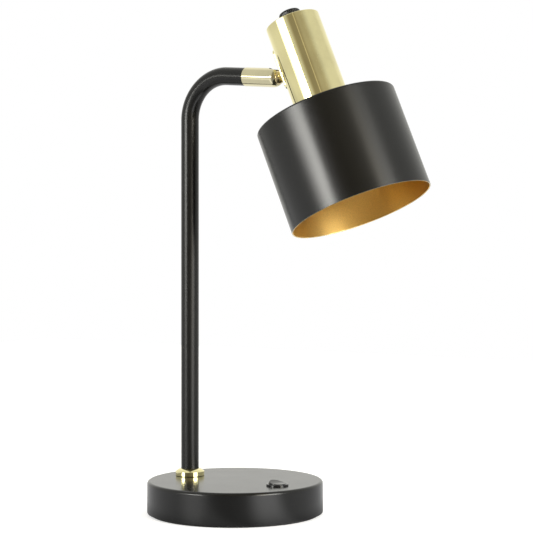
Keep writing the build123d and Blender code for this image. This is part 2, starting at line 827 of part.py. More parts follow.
# Screw sleeve and centre contact inside the lampholder
sleeve_top = floor_level - contact_thickness
with BuildPart() as lamp_sleeve:
    with BuildSketch(head_section.offset(floor_level)):
        Circle(body_inner)
        Circle(sleeve_diameter / 2 - sleeve_wall - contact_width / 3, mode=Mode.SUBTRACT)
    extrude(amount=-contact_thickness)
    with BuildSketch(head_section.offset(sleeve_top)):
        Circle(sleeve_diameter / 2)
        Circle(sleeve_diameter / 2 - sleeve_wall, mode=Mode.SUBTRACT)
    extrude(amount=-sleeve_length)
finish(lamp_sleeve, "lamp_sleeve")
with BuildPart() as centre_contact:
    with BuildSketch(head_section.offset(floor_level)):
        Rectangle(contact_width * 2, contact_width)
    extrude(amount=-contact_thickness)
    with BuildSketch(head_section.offset(floor_level - contact_thickness)):
        Circle(contact_width / 3)
    extrude(amount=-contact_thickness)
finish(centre_contact, "centre_contact")

# Ribbed ring that clamps the shade's roof against the flange
ring_top = roof_level - shade_wall
with BuildPart() as shade_ring:
    with BuildSketch(head_section.offset(ring_top)):
        Circle(shade_ring_diameter / 2)
        Circle(holder_diameter / 2 + thread_clearance, mode=Mode.SUBTRACT)
    extrude(amount=-shade_ring_thickness)
    with BuildSketch(head_section.offset(ring_top - shade_ring_thickness)):
        with PolarLocations(shade_ring_diameter / 2, shade_ring_ribs):
            Circle(shade_ring_thickness / 4)
    extrude(amount=shade_ring_thickness * 2 / 3, mode=Mode.SUBTRACT)
finish(shade_ring, "shade_ring")

# Lead from the ball into the lampholder
with BuildPart() as head_lead:
    with BuildLine(stud_profile) as head_lead_path:
        Line((-ball_radius / 2, 0), (stud_end, 0))
        CenterArc((stud_end, -lead_bend_radius), lead_bend_radius, 90, -90)
        Line((head_lead_x, -lead_bend_radius), (head_lead_x, cap_foot))
    with BuildSketch(stud_section.offset(-ball_radius / 2)):
        Circle(lead_diameter / 2)
    sweep(path=head_lead_path.wires()[0])
finish(head_lead, "head_lead")

# Bulb: metal cap and glass globe
globe_radius = bulb_diameter / 2
globe_top = holder_foot - bulb_cap_inset
globe_centre = globe_top - bulb_length + globe_radius
with BuildPart() as bulb_cap:
    with BuildSketch(head_section.offset(globe_top)):
        Circle(bulb_cap_diameter / 2)
    extrude(amount=bulb_cap_top - globe_top - bulb_cap_inset)
    with BuildSketch(head_section.offset(bulb_cap_top - bulb_cap_inset)):
        Circle(bulb_cap_diameter / 2)
    with BuildSketch(head_section.offset(bulb_cap_top)):
        Circle(bulb_cap_diameter / 5)
    loft()
finish(bulb_cap, "bulb_cap")
with BuildPart() as bulb_globe:
    with BuildSketch(head_profile):
        with BuildLine():
            CenterArc((0, globe_centre), globe_radius, -90, 180)
            Line((0, globe_centre - globe_radius), (0, globe_centre + globe_radius))
        make_face()
        with Locations((0, globe_centre)):
            Rectangle(bulb_neck_diameter / 2, globe_top - globe_centre, align=(Align.MIN, Align.MIN))
    revolve(axis=head_axis)
    offset(amount=-bulb_wall, openings=bulb_globe.faces().sort_by(head_axis)[-1])
finish(bulb_globe, "bulb_globe")
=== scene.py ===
"""Looks of the desk lamp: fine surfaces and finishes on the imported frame, and a pale studio.

Every surface is worked out with numpy in millimetres, in the lamp's own frame, and put into
its mesh in metres. The frame's CAD nodes that are hidden inside keep their shape.
"""
import json
import logging
from dataclasses import dataclass, field
from enum import Enum
from functools import partialmethod
from math import cos, pi, radians, sin, sqrt, tan
from typing import Sequence

import bmesh
import bpy
import numpy as np
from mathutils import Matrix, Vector


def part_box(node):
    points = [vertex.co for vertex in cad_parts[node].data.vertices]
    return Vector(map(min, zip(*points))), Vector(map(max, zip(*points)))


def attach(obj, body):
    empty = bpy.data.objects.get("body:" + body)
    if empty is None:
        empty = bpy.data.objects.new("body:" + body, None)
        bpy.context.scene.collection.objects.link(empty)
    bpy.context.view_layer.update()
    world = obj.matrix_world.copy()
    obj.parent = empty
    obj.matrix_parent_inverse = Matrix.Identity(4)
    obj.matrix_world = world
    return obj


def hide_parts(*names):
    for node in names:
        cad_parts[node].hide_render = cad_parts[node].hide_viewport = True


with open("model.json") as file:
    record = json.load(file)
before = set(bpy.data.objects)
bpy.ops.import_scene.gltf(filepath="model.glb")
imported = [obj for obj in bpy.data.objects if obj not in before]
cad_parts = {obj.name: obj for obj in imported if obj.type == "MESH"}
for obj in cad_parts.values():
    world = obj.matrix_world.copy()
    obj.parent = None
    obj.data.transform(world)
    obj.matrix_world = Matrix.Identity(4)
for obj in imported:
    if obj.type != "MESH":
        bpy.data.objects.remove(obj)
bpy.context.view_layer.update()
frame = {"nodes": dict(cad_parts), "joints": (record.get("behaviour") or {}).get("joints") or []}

MM = 0.001
FULL_TURN = 2 * pi
LOG = logging.getLogger("desk_lamp")


class Body(Enum):
    """Rigid bodies of the frame that a piece can ride on."""

    BASE = "base"
    ROCKER = "rocker"
    BARREL = "barrel"
    HEAD = "head"


# Shader maths


class Value:
    """One number socket, on which Python's operators add Math nodes."""

    def __init__(self, tree: "Tree", socket: bpy.types.NodeSocket) -> None:
        """Keep the tree and the socket."""
        self.tree = tree
        self.socket = socket

    def math(self, operation: str, *operands: "float | Value") -> "Value":
        """Add one Math node.

        Args:
            operation: The node's operation.
            operands: Its inputs after this value, in order.

        Returns:
            The node's result.
        """
        sockets = dict(enumerate((self, *operands)))
        return self.tree.value("ShaderNodeMath", {"operation": operation}, sockets)

    __add__ = __radd__ = partialmethod(math, "ADD")
    __mul__ = __rmul__ = partialmethod(math, "MULTIPLY")
    __sub__ = partialmethod(math, "SUBTRACT")
    __abs__ = partialmethod(math, "ABSOLUTE")

    def __rsub__(self, other: float) -> "Value":
        """Difference, with the number first."""
        return self * -1 + other

    def rise(self, low: float, high: float) -> "Value":
        """Smooth step from 0 at low to 1 at high."""
        sockets = {"Value": self, "From Min": low, "From Max": high}
        return self.tree.value("ShaderNodeMapRange", {"interpolation_type": "SMOOTHSTEP"}, sockets)

    def climb(self, *steps: tuple) -> "Value":
        """Sum of smooth steps, each given by its height, its start and its end."""
        return sum(height * self.rise(low, high) for height, low, high in steps)

    def window(self, low: float, high: float, soft: float) -> "Value":
        """1 between low and high, falling to 0 over soft beyond them."""
        return self.rise(low - soft, low) * (1 - self.rise(high, high + soft))


class Tree:
    """A material's or the world's node tree."""

    def __init__(self, owner: bpy.types.Material | bpy.types.World) -> None:
        """Empty the owner's node tree and keep it.

        Args:
            owner: The material or world.
        """
        owner.use_nodes = True
        self.tree = owner.node_tree
        self.tree.nodes.clear()

    def node(self, kind: str, settings: dict | None = None, sockets: dict | None = None) -> bpy.types.Node:
        """Add one node.

        Args:
            kind: The node's type.
            settings: Its properties, set first.
            sockets: Values or links by input name or index.

        Returns:
            The new node.
        """
        node = self.tree.nodes.new(kind)
        for key, setting in (settings or {}).items():
            setattr(node, key, setting)
        for key, content in (sockets or {}).items():
            if isinstance(content, Value):
                content = content.socket
            if isinstance(content, bpy.types.NodeSocket):
                self.tree.links.new(content, node.inputs[key])
            else:
                node.inputs[key].default_value = content
        return node

    def value(self, kind: str, settings: dict, sockets: dict) -> Value:
        """Add one node and take its first output as a value."""
        return Value(self, self.node(kind, settings, sockets).outputs[0])

    def object_coordinates(self) -> bpy.types.NodeSocket:
        """The Object coordinates, in metres."""
        return self.node("ShaderNodeTexCoord").outputs["Object"]

    def noise(self, scale: float, detail: float = 2.0, stretch: tuple = (1.0, 1.0, 1.0)) -> Value:
        """Noise on the Object coordinates.

        Args:
            scale: Waves per metre.
            detail: Octaves.
            stretch: Factors along X, Y and Z.

        Returns:
            The noise, around 0.5.
        """
        place = {"Vector": self.object_coordinates(), "Scale": stretch}
        mapping = self.node("ShaderNodeMapping", {"vector_type": "POINT"}, place)
        sockets = {"Vector": mapping.outputs[0], "Scale": scale, "Detail": detail}
        return self.value("ShaderNodeTexNoise", {}, sockets)

    def blend(
        self, factor: Value, first: "tuple | bpy.types.NodeSocket", second: tuple
    ) -> bpy.types.NodeSocket:
        """Mix two colours.

        Args:
            factor: 0 for the first colour and 1 for the second.
            first: A colour, or a socket that carries one.
            second: A colour.

        Returns:
            The mixed colour.
        """
        if isinstance(first, tuple):
            first = (*first, 1.0)
        colours = {"Factor": factor, 6: first, 7: (*second, 1.0)}
        return self.node("ShaderNodeMix", {"data_type": "RGBA"}, colours).outputs[2]


# Finishes


@dataclass(frozen=True)
class Finish:
    """A surface whose colour, gloss and relief vary a little.

    Colours and shares have no unit and relief is in metres. A noise is its waves per metre,
    its octaves and, where it is stretched, its factors along X, Y and Z. The tone is the
    share by which the colour goes down and up, and clouds and dust raise the roughness.
    """

    name: str
    colour: tuple
    roughness: float
    relief: float = 2.0e-6
    relief_noise: tuple = (900.0, 2.0)
    tone: float = 0.12
    tone_noise: tuple = (60.0, 3.0)
    clouds: float = 0.05
    cloud_noise: tuple = (35.0, 4.0)
    dust: float = 0.0
    dust_noise: tuple = (5200.0, 1.0)
    metallic: float = 0.0
    index: float = 1.5
    coat: float = 0.0
    coat_clouds: float = 0.0
    coat_noise: tuple = (90.0, 2.0)
    coat_roughness: float = 0.03

    def material(self) -> bpy.types.Material:
        """Find the finish's material, or make it at its first use.

        Returns:
            The material.
        """
        found = bpy.data.materials.get(self.name)
        if found is None:
            found = bpy.data.materials.new(self.name)
            self.shade(Tree(found))
        return found

    def shade(self, tree: Tree) -> None:
        """Fill the material's tree with one Principled surface.

        Args:
            tree: The material's tree.
        """
        darker = tuple(channel * (1 - self.tone) for channel in self.colour)
        lighter = tuple(min(1.0, channel * (1 + self.tone)) for channel in self.colour)
        roughness = self.roughness + self.clouds * tree.noise(*self.cloud_noise)
        if self.dust:
            roughness = roughness + self.dust * tree.noise(*self.dust_noise).rise(0.72, 0.80)
        bump = {"Height": tree.noise(*self.relief_noise), "Distance": self.relief, "Strength": 1.0}
        sockets = {
            "Base Color": tree.blend(tree.noise(*self.tone_noise).rise(0.3, 0.7), darker, lighter),
            "Metallic": self.metallic,
            "Roughness": roughness,
            "IOR": self.index,
            "Normal": tree.node("ShaderNodeBump", {}, bump).outputs[0],
        }
        if self.coat:
            sockets["Coat Weight"] = self.coat + self.coat_clouds * tree.noise(*self.coat_noise)
            sockets["Coat Roughness"] = self.coat_roughness
        surface = tree.node("ShaderNodeBsdfPrincipled", {}, sockets)
        tree.node("ShaderNodeOutputMaterial", {}, {"Surface": surface.outputs[0]})


@dataclass(frozen=True)
class Lacquer(Finish):
    """Sprayed lacquer on metal: even colour, faint orange peel, fine dust in an uneven gloss."""

    dust: float = 0.1


@dataclass(frozen=True)
class PlatedMetal(Finish):
    """Polished plated metal: faint turning lines round the piece and a thin tarnish."""

    relief: float = 4.0e-7
    relief_noise: tuple = (2600.0, 2.0, (0.15, 0.15, 1.0))
    tone: float = 0.06
    tone_noise: tuple = (45.0, 3.0)
    clouds: float = 0.06
    cloud_noise: tuple = (70.0, 4.0)
    metallic: float = 1.0


@dataclass(frozen=True)
class FlakePaint(Finish):
    """Gold paint: a metallic body with fine flakes under a clear coat."""

    relief: float = 1.2e-5
    relief_noise: tuple = (1500.0, 3.0)
    tone: float = 0.10
    tone_noise: tuple = (1500.0, 3.0)
    clouds: float = 0.06
    cloud_noise: tuple = (1500.0, 3.0)
    metallic: float = 1.0
    coat: float = 0.6
    coat_clouds: float = 0.2
    coat_roughness: float = 0.30


@dataclass(frozen=True)
class Moulded(Finish):
    """Moulded plastic or rubber: fine grain, and a little wear in the gloss."""

    relief: float = 4.0e-6
    relief_noise: tuple = (3000.0, 2.0)
    tone: float = 0.15
    tone_noise: tuple = (220.0, 3.0)
    clouds: float = 0.08
    cloud_noise: tuple = (300.0, 3.0)
    index: float = 1.49


@dataclass(frozen=True)
class Casting(Finish):
    """Rough sand casting: dark, pitted and dull."""

    relief: float = 1.2e-4
    relief_noise: tuple = (700.0, 6.0)
    tone: float = 0.3
    tone_noise: tuple = (400.0, 3.0)
    clouds: float = 0.15
    cloud_noise: tuple = (700.0, 6.0)
    metallic: float = 0.6


@dataclass(frozen=True)
class OpalGlass(Finish):
    """White opal glass: a milky body under a clear gloss."""

    relief: float = 4.0e-6
    relief_noise: tuple = (120.0, 2.0)
    tone: float = 0.015
    tone_noise: tuple = (90.0, 3.0)
    cloud_noise: tuple = (120.0, 2.0)
    coat: float = 0.6
    coat_clouds: float = 0.1
    coat_noise: tuple = (120.0, 2.0)
    coat_roughness: float = 0.04


BLACK_LACQUER = Lacquer("black_lacquer", (0.0082, 0.0082, 0.0078), 0.22, relief=7.0e-7, index=1.41)
BASE_LACQUER = Lacquer("base_lacquer", (0.0050, 0.0050, 0.0048), 0.18)
SHADE_ENAMEL = Lacquer("shade_enamel", (0.0016, 0.0016, 0.0013), 0.24, relief=3.0e-6, index=1.55)
SHADE_GOLD = FlakePaint("shade_gold", (0.91, 0.63, 0.20), 0.38)
# Painted highlight: the rim's bead is gold like the inside, in a paler, glossier copy that stands for the
# light its edge catches.
RIM_HIGHLIGHT_GOLD = PlatedMetal("rim_painted_highlight", (0.95, 0.80, 0.42), 0.22)
PALE_BRASS = PlatedMetal("pale_brass", (0.95, 0.865, 0.475), 0.045)
SCREW_BRASS = PlatedMetal("screw_brass", (0.72, 0.62, 0.36), 0.16)
# Painted shade: a darker copy of the pale brass for the barrel, which reflects less light than the cylinder.
BARREL_SHADED_BRASS = PlatedMetal("barrel_painted_shade", (0.76, 0.70, 0.46), 0.05)
BALL_BRASS = PlatedMetal("ball_brass", (0.80, 0.66, 0.36), 0.26)
# Painted shade: a dark, dull copy of the brass for the inside of the barrel's bore and the flat sides of its
# slot.
BORE_SHADE_BRASS = PlatedMetal("bore_painted_shade", (0.10, 0.08, 0.045), 0.45, relief=2.0e-6, tone=0.2)
FINIAL_BLACK = Lacquer("finial_black", (0.009, 0.009, 0.009), 0.24, relief=1.0e-6)
SWITCH_BLACK = Moulded("switch_black", (0.012, 0.012, 0.013), 0.07, relief=6.0e-7)
GLAND_BLACK = Moulded("gland_black", (0.02, 0.02, 0.02), 0.42)
PAD_FOAM = Moulded("pad_foam", (0.02, 0.02, 0.02), 0.85, relief=6.0e-5, relief_noise=(1800.0, 2.0))
IRON = Casting("cast_iron", (0.10, 0.10, 0.105), 0.55)
ZINC = PlatedMetal("zinc_plate", (0.62, 0.63, 0.65), 0.28, relief=1.5e-6, tone=0.12)
RESIN = Moulded("black_resin", (0.02, 0.019, 0.018), 0.35)
NYLON = Moulded("natural_nylon", (0.80, 0.79, 0.74), 0.45)
SHEATH = Moulded("grey_sheath", (0.60, 0.60, 0.58), 0.40)
CONTACT = PlatedMetal("contact_brass", (0.70, 0.60, 0.36), 0.30)
CAP_METAL = PlatedMetal("bulb_cap_metal", (0.78, 0.79, 0.80), 0.22)
OPAL = OpalGlass("opal_glass", (0.90, 0.89, 0.86), 0.22)

HIDDEN_NODES = {
    IRON: ("base_weight",),
    ZINC: (
        "foot_insert", "foot_nipple", "foot_washer", "foot_nut", "swivel_washer", "swivel_nut",
        "seat_screw", "disc_springs", "saddle_block", "stud_nut", "head_rod", "rod_nut",
    ),
    CONTACT: ("switch_terminals", "lamp_sleeve", "centre_contact"),
    SHEATH: ("stem_lead", "joint_lead", "head_lead"),
    PALE_BRASS: ("swivel_plug",),
    NYLON: ("friction_seat",),
    RESIN: ("lampholder_cap",),
}


# Surfaces


@dataclass(frozen=True)
class Axes:
    """A place with three square directions, the last one along the piece's axis."""

    origin: np.ndarray
    across: np.ndarray
    side: np.ndarray
    along: np.ndarray

    def place(self, points: np.ndarray) -> np.ndarray:
        """Take local points to the lamp's frame: O + x A + y B + z C."""
        return self.origin + points @ np.stack([self.across, self.side, self.along])

    def moved(self, x: float = 0.0, y: float = 0.0, z: float = 0.0) -> "Axes":
        """The same directions at another local place."""
        return Axes(self.place(np.array([x, y, z])), self.across, self.side, self.along)


@dataclass
class Surface:
    """A mesh in the making: points in millimetres, quads, and a finish number for each quad."""

    points: np.ndarray
    quads: np.ndarray
    finish: np.ndarray

    @staticmethod
    def grid(points: np.ndarray, wrap_rows: bool = False, wrap_columns: bool = True,
             row_finish: np.ndarray | None = None) -> "Surface":
        """Join a grid of points into quads.

        Args:
            points: Points by row and column.
            wrap_rows: Whether the last row joins the first.
            wrap_columns: Whether the last column joins the first.
            row_finish: Finish number of each row of quads.

        Returns:
            The surface.
        """
        rows, columns = points.shape[:2]
        last_row = rows if wrap_rows else rows - 1
        last_column = columns if wrap_columns else columns - 1
        row, column = np.meshgrid(np.arange(last_row), np.arange(last_column), indexing="ij")
        below, right = (row + 1) % rows, (column + 1) % columns
        here, under = row * columns, below * columns
        quads = np.stack([here + column, here + right, under + right, under + column], axis=-1)
        numbers = np.zeros(last_row, int) if row_finish is None else np.asarray(row_finish, int)
        return Surface(points.reshape(-1, 3), quads.reshape(-1, 4), np.repeat(numbers, last_column))

    def __add__(self, other: "Surface") -> "Surface":
        """Both surfaces in one mesh."""
        return Surface(
            np.concatenate([self.points, other.points]),
            np.concatenate([self.quads, other.quads + len(self.points)]),
            np.concatenate([self.finish, other.finish]),
        )


@dataclass
class Piece:
    """A finished piece: the CAD nodes it stands for, its surface, its finishes and its body."""

    stands_for: Sequence[str]
    surface: Surface
    finishes: Sequence[Finish]
    body: Body
    slot: str
    name: str = ""
    crease: float = 32.0

    def __post_init__(self) -> None:
        """Name the piece after its CAD node where it has no name of its own."""
        self.name = self.name or f"{self.stands_for[0]}_surface"

    def build(self) -> None:
        """Put the surface into a mesh object on its body.

        Doubled points are merged, which closes the seams and the poles, and the faces are
        turned outwards. Edges sharper than the crease angle stay sharp.
        """
        mesh = bpy.data.meshes.new(self.name)
        mesh.from_pydata(self.surface.points * MM, [], self.surface.quads.tolist())
        mesh.polygons.foreach_set("material_index", self.surface.finish.astype(np.int32))
        work = bmesh.new()
        work.from_mesh(mesh)
        bmesh.ops.remove_doubles(work, verts=work.verts, dist=2e-6)
        bmesh.ops.recalc_face_normals(work, faces=work.faces)
        for edge in work.edges:
            edge.smooth = not edge.is_manifold or edge.calc_face_angle() < radians(self.crease)
        for face in work.faces:
            face.smooth = True
        work.to_mesh(mesh)
        work.free()
        for finish in self.finishes:
            mesh.materials.append(finish.material())
        piece = bpy.data.objects.new(self.name, mesh)
        bpy.context.scene.collection.objects.link(piece)
        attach(piece, self.body.value)
        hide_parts(*self.stands_for)
        LOG.info("%s: %d faces, rides on %s", self.name, len(mesh.polygons), self.body.value)


def rounded(corners: Sequence[tuple], steps: int = 7) -> np.ndarray:
    """Outline whose corners are arcs, with a guard point beyond each arc's end.

    A corner P with unit directions a and b to its neighbours and half angle h takes an arc of
    radius r about P + (a + b)/|a + b| r/sin(h), between P + a r/tan(h) and P + b r/tan(h).

    Args:
        corners: Place of each corner and its arc's radius, 0 for a sharp one.
        steps: Steps along each arc.

    Returns:
        The outline's points, one per row.
    """
    points = np.array(corners, float)[:, :2]
    guard_share = 0.12
    pieces = []
    for index, (_, _, radius) in enumerate(corners):
        corner = points[index]
        if radius == 0:
            pieces.append(corner[None])
            continue
        to_last = points[index - 1] - corner
        to_next = points[(index + 1) % len(points)] - corner
        to_last /= np.linalg.norm(to_last)
        to_next /= np.linalg.norm(to_next)
        half = np.arccos(np.clip(to_last @ to_next, -1, 1)) / 2
        reach = radius / tan(half)
        centre = corner + (to_last + to_next) / np.linalg.norm(to_last + to_next) * radius / sin(half)
        first = corner + to_last * reach - centre
        last = corner + to_next * reach - centre
        turn = pi - 2 * half
        share = np.linspace(0, 1, steps + 1)[:, None]
        arc = centre + (np.sin((1 - share) * turn) * first + np.sin(share * turn) * last) / sin(turn)
        guard = reach + guard_share * radius
        pieces += [(corner + to_last * guard)[None], arc, (corner + to_next * guard)[None]]
    return np.concatenate(pieces)


def circle(columns: int) -> np.ndarray:
    """Evenly spaced angles round an axis."""
    return np.arange(columns) / columns * FULL_TURN


def polar(radius: np.ndarray, turn: np.ndarray, height: np.ndarray) -> np.ndarray:
    """Points (r cos t, r sin t, h), from arrays that are spread to one shape."""
    return np.stack(np.broadcast_arrays(radius * np.cos(turn), radius * np.sin(turn), height), axis=-1)


def turned(profile: np.ndarray, axes: Axes, columns: int = 128, closed: bool = False,
           row_finish: np.ndarray | None = None, flutes: int = 0,
           flute_depth: np.ndarray | None = None) -> Surface:
    """Turn a profile of radius r and height h about the axis.

    P(i, t) = O + R cos(t) A + R sin(t) B + h(i) C, with R = r(i) - d(i) (1 + cos(n t)) / 2 for
    n flutes of depth d.

    Args:
        profile: Radius and height, one row per point.
        axes: Where the axis lies.
        columns: Steps round the axis.
        closed: Whether the profile is a loop.
        row_finish: Finish number of each row of quads.
        flutes: Number of flutes.
        flute_depth: Depth of the flutes at each profile point.

    Returns:
        The surface.
    """
    turn = circle(columns)
    radius = profile[:, :1]
    if flutes:
        radius = radius - flute_depth[:, None] * (1 + np.cos(flutes * turn)) / 2
    local = polar(radius, turn, profile[:, 1:])
    return Surface.grid(axes.place(local), wrap_rows=closed, row_finish=row_finish)


def ball_and_neck(ball: float, neck: float, root: float, height: float = 0.0, start: float = 0.0,
                  steps: tuple = (64, 10)) -> np.ndarray:
    """Profile of a ball that a hollow arc joins to a neck above it.

    The arc of radius f touches the ball of radius b and the neck of radius n, so that its
    middle lies at r = n + f, and at sqrt((b + f)^2 - (n + f)^2) above the ball's middle.

    Args:
        ball: Radius of the ball.
        neck: Radius of the neck.
        root: Radius of the hollow arc.
        height: Height of the ball's middle.
        start: Angle from the ball's foot at which the profile starts.
        steps: Points on the ball and on the arc.

    Returns:
        Radius and height, from the ball's foot to the neck's foot.
    """
    reach, span = neck + root, ball + root
    meet = np.arcsin(reach / span)
    ball_turn = np.linspace(start, pi - meet, steps[0])
    root_turn = np.linspace(1.5 * pi - meet, pi, steps[1])[1:]
    radius = np.concatenate([ball * np.sin(ball_turn), reach + root * np.cos(root_turn)])
    root_height = sqrt(span**2 - reach**2) + root * np.sin(root_turn)
    return np.stack([radius, height + np.concatenate([-ball * np.cos(ball_turn), root_height])], axis=1)


# Parts of the lamp, with their sizes in millimetres


@dataclass
class LampAxes:
    """Where the lamp's main axes lie, taken from the frame's joints and boxes."""

    head_tilt: float = 23.0
    axis_offset: float = 32.8
    base: Axes = field(init=False)
    arm: Axes = field(init=False)
    stud: Axes = field(init=False)
    head: Axes = field(init=False)
    switch: Axes = field(init=False)

    def __post_init__(self) -> None:
        """Work out the axes."""
        joints = {joint["name"]: joint for joint in frame["joints"]}
        ahead, left, vertical = np.eye(3)
        ball = np.array(joints["head_tilt"]["pos_m"]) / MM
        along_arm = np.array(joints["head_swivel"]["axis"])
        tilt = radians(self.head_tilt)
        out = cos(tilt) * ahead + sin(tilt) * vertical
        up = cos(tilt) * vertical - sin(tilt) * ahead
        pivot = np.array(joints["switch_rock"]["pos_m"]) / MM
        hinge = -np.array(joints["switch_rock"]["axis"])
        base_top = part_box("base_shell")[1][2] / MM
        switch_place = np.array([pivot[0], pivot[1], base_top])
        self.base = Axes(np.zeros(3), ahead, left, vertical)
        self.arm = Axes(ball, np.cross(along_arm, left), left, along_arm)
        self.stud = Axes(ball, up, np.cross(out, up), out)
        self.head = Axes(ball + out * self.axis_offset, out, left, up)
        self.switch = Axes(switch_place, np.cross(hinge, vertical), hinge, vertical)


AXES = LampAxes()


@dataclass
class BaseUnit:
    """Round base: lacquered shell, foam pad and the cord gland in its back wall."""

    radius: float = 78.0
    shell_foot: float = 1.6
    top: float = 29.6
    edge: float = 2.6
    foot_edge: float = 0.5
    wall: float = 1.5
    pad_radius: float = 75.0
    pad_thickness: float = 2.0
    pad_edges: tuple = (0.4, 0.2)
    gland_height: float = 12.0
    gland_flange: float = 6.5
    gland_thickness: float = 1.8
    gland_neck: float = 4.5
    gland_bore: float = 3.1
    gland_length: float = 6.5

    def shell(self) -> Piece:
        """Pressed cup: outer wall, rounded top edge and inner wall.

        Returns:
            The piece.
        """
        inner = self.radius - self.wall
        ceiling = self.top - self.wall
        corners = [
            (inner, self.shell_foot, 0), (self.radius, self.shell_foot, self.foot_edge),
            (self.radius, self.top, self.edge), (0, self.top, 0), (0, ceiling, 0),
            (inner, ceiling, self.edge - self.wall),
        ]
        surface = turned(rounded(corners, 10), AXES.base, 224, closed=True)
        return Piece(["base_shell"], surface, [BASE_LACQUER], Body.BASE, "black_paint")

    def pad(self) -> Piece:
        """Foam disc under the shell, with eased edges.

        Returns:
            The piece.
        """
        radius, top = self.pad_radius, self.pad_thickness
        lower, upper = self.pad_edges
        corners = [(0, 0, 0), (radius, 0, lower), (radius, top, upper), (0, top, 0)]
        surface = turned(rounded(corners, 4), AXES.base, 160)
        return Piece(["base_pad"], surface, [PAD_FOAM], Body.BASE, "foam_pad")

    def gland(self) -> Piece:
        """Flanged bush, its bore open for the cord.

        Returns:
            The piece.
        """
        ahead, left, up = np.eye(3)
        place = np.array([-self.radius - self.gland_thickness, 0.0, self.gland_height])
        bore, flange, neck = self.gland_bore, self.gland_flange, self.gland_neck
        step, end = self.gland_thickness, self.gland_length
        corners = [
            (bore, 0, 0.6), (flange, 0, 0.8), (flange, step, 0.15), (neck, step, 0), (neck, end, 0.4),
            (bore, end, 0),
        ]
        surface = turned(rounded(corners, 5), Axes(place, up, left, ahead), 72, closed=True)
        return Piece(["cord_gland"], surface, [GLAND_BLACK], Body.BASE, "black_plastic")

    def pieces(self) -> tuple:
        """The pieces of the base."""
        return self.shell(), self.pad(), self.gland()


@dataclass
class StemUnit:
    """Collar and bent tube."""

    offset: float = -49.7
    base_top: float = 29.6
    tube_radius: float = 8.0
    collar_radius: float = 13.0
    collar_band: float = 4.0
    collar_edge: float = 0.5
    collar_gap: float = 0.1
    collar_dome: float = 2.7
    collar_fullness: float = 1.7
    bend_radius: float = 38.0
    bend_height: float = 350.6
    droop: float = 4.4
    arm_run: float = 20.3
    foot_lift: float = 2.0
    flattening: float = 0.045

    def collar(self) -> Piece:
        """Ring of a band and a dome that flattens towards the tube.

        The dome is h = H (1 - s^n), with s from 0 at the tube to 1 at the band.

        Returns:
            The piece.
        """
        band_top = self.base_top + self.collar_band
        bore = self.tube_radius + self.collar_gap
        outer = self.collar_radius
        foot_edge = (outer, self.base_top, self.collar_edge)
        band = rounded([(bore, self.base_top, 0), foot_edge, (outer, band_top, 0)], 5)
        share = np.linspace(0.97, 0, 24)
        height = band_top + self.collar_dome * (1 - share**self.collar_fullness)
        dome = np.stack([bore + share * (outer - bore), height], axis=1)
        surface = turned(np.concatenate([band, dome]), AXES.base.moved(self.offset), 128, closed=True)
        return Piece(["stem_collar"], surface, [PALE_BRASS], Body.BASE, "gold_brass")

    def tube(self) -> Piece:
        """Tube along a line, an arc and a line in the XZ plane.

        P(s, t) = M(s) + a(s) cos(t) N(s) + r sin(t) Y, where M is the middle line, N its
        normal in the plane of the bend, and a = r (1 - f sin^2) the flattening in the bend.

        Returns:
            The piece.
        """
        turn = pi / 2 + radians(self.droop)
        straight = np.linspace(0, 1, 24)[:, None]
        bend = np.linspace(0, turn, 72)
        centre = np.array([self.offset + self.bend_radius, self.bend_height])
        foot = np.array([[self.offset, self.base_top + self.foot_lift]])
        rise = foot + straight * np.array([[0.0, self.bend_height - foot[0, 1]]])
        arc = centre + self.bend_radius * np.stack([-np.cos(bend), np.sin(bend)], axis=1)
        ahead = np.array([cos(radians(self.droop)), -sin(radians(self.droop))])
        arm = arc[-1] + straight[1:] * ahead * self.arm_run
        middle = np.concatenate([rise[:-1], arc, arm])
        heading = np.concatenate([np.zeros(len(rise) - 1), bend, np.full(len(arm), turn)])
        squeeze = np.sin(heading / turn * pi) ** 2
        outward = np.stack([-np.cos(heading), np.sin(heading)], axis=1)
        round_turn = circle(96)
        in_plane = self.tube_radius * (1 - self.flattening * squeeze)[:, None] * np.cos(round_turn)
        x = middle[:, :1] + outward[:, :1] * in_plane
        z = middle[:, 1:] + outward[:, 1:] * in_plane
        y = np.broadcast_to(self.tube_radius * np.sin(round_turn), x.shape)
        skin = np.stack([x, y, z], axis=-1)
        ends = [np.broadcast_to([m[0], 0.0, m[1]], skin[0].shape)[None] for m in (middle[0], middle[-1])]
        surface = Surface.grid(np.concatenate([ends[0], skin, ends[1]]))
        return Piece(["stem_tube"], surface, [BLACK_LACQUER], Body.BASE, "black_paint")

    def pieces(self) -> tuple:
        """The pieces of the stem."""
        return self.collar(), self.tube()


